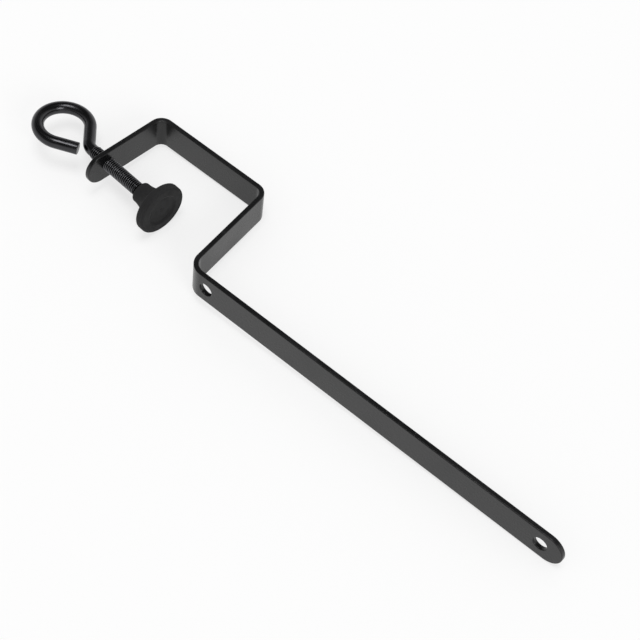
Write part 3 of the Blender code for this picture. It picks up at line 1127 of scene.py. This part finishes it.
class NETCLAMP_OT_foot(bpy.types.Operator):
    """Make the moulded pressure foot that turns on the ball"""

    bl_idname = "net_clamp.foot"
    bl_label = "Pressure foot"

    def execute(self, context):
        strip, screw, foot, fineness = settings(context.scene)
        piece = new_object("moulded_foot", moulded_foot(strip, screw, foot, fineness))
        dress(piece, moulded_plastic(foot))
        check_box(piece, "pressure_foot")
        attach(piece, "foot")
        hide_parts("pressure_foot")
        return {"FINISHED"}


def add_softbox(name, level, width, towards):
    """A distant round softbox that gives its level of light on a surface that faces it."""
    lamp = bpy.data.lights.new(name, "SUN")
    lamp.energy = level * math.pi
    lamp.angle = width
    ob = new_object(name, lamp)
    ob.location = Vector(towards).normalized()
    ob.rotation_euler = Vector(towards).to_track_quat("Z", "Y").to_euler()


def add_camera(stage):
    """The scene's camera, which looks at its target."""
    camera = bpy.data.cameras.new("camera")
    camera.sensor_width = SENSOR_MM
    camera.lens = stage.lens_mm
    camera.clip_start = 10 * MM
    ob = new_object("camera", camera)
    ob.location = stage.camera_place
    look = Vector(stage.camera_target) - Vector(stage.camera_place)
    ob.rotation_euler = look.to_track_quat("-Z", "Y").to_euler()
    bpy.context.scene.camera = ob


class NETCLAMP_OT_stage(bpy.types.Operator):
    """Make the pale floor, the soft lights and the camera"""

    bl_idname = "net_clamp.stage"
    bl_label = "Stage"

    def execute(self, context):
        stage = context.scene.net_clamp_stage
        bm = bmesh.new()
        bmesh.ops.create_grid(bm, x_segments=1, y_segments=1, size=stage.floor_size / 2)
        floor = new_object("floor", mesh_from(bm, "floor"))
        dress(floor, pale_floor(stage))
        context.scene.world = studio_room(stage)
        add_softbox("high_softbox", stage.high_light, stage.softbox_width, stage.high_towards)
        add_softbox("side_softbox", stage.side_light, stage.softbox_width, stage.side_towards)
        add_camera(stage)
        context.scene.view_settings.view_transform = "Standard"
        return {"FINISHED"}


OPERATORS = (NETCLAMP_OT_bracket, NETCLAMP_OT_screw, NETCLAMP_OT_foot, NETCLAMP_OT_stage)
SETTINGS = {
    "net_clamp_strip": NETCLAMP_PG_strip,
    "net_clamp_screw": NETCLAMP_PG_screw,
    "net_clamp_foot": NETCLAMP_PG_foot,
    "net_clamp_stage": NETCLAMP_PG_stage,
    "net_clamp_fineness": NETCLAMP_PG_fineness,
}


class NETCLAMP_PT_panel(bpy.types.Panel):
    """Sizes of the net clamp and the buttons that make its pieces"""

    bl_label = "Net clamp"
    bl_idname = "NETCLAMP_PT_panel"
    bl_space_type = "VIEW_3D"
    bl_region_type = "UI"
    bl_category = "Net clamp"

    def draw(self, context):
        layout = self.layout
        for operator in OPERATORS:
            layout.operator(operator.bl_idname)
        for name, group in SETTINGS.items():
            box = layout.box()
            box.label(text=group.__doc__)
            for size_name in group.__annotations__:
                box.prop(getattr(context.scene, name), size_name)


def register():
    for group in SETTINGS.values():
        bpy.utils.register_class(group)
    for name, group in SETTINGS.items():
        setattr(bpy.types.Scene, name, PointerProperty(type=group))
    for shown in (*OPERATORS, NETCLAMP_PT_panel):
        bpy.utils.register_class(shown)


def unregister():
    for shown in reversed((*OPERATORS, NETCLAMP_PT_panel)):
        bpy.utils.unregister_class(shown)
    for name, group in reversed(SETTINGS.items()):
        delattr(bpy.types.Scene, name)
        bpy.utils.unregister_class(group)


def main():
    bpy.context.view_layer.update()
    register()
    bpy.ops.net_clamp.bracket()
    bpy.ops.net_clamp.screw()
    bpy.ops.net_clamp.foot()
    bpy.ops.net_clamp.stage()
    bpy.context.view_layer.update()


if __name__ == "__main__":
    main()
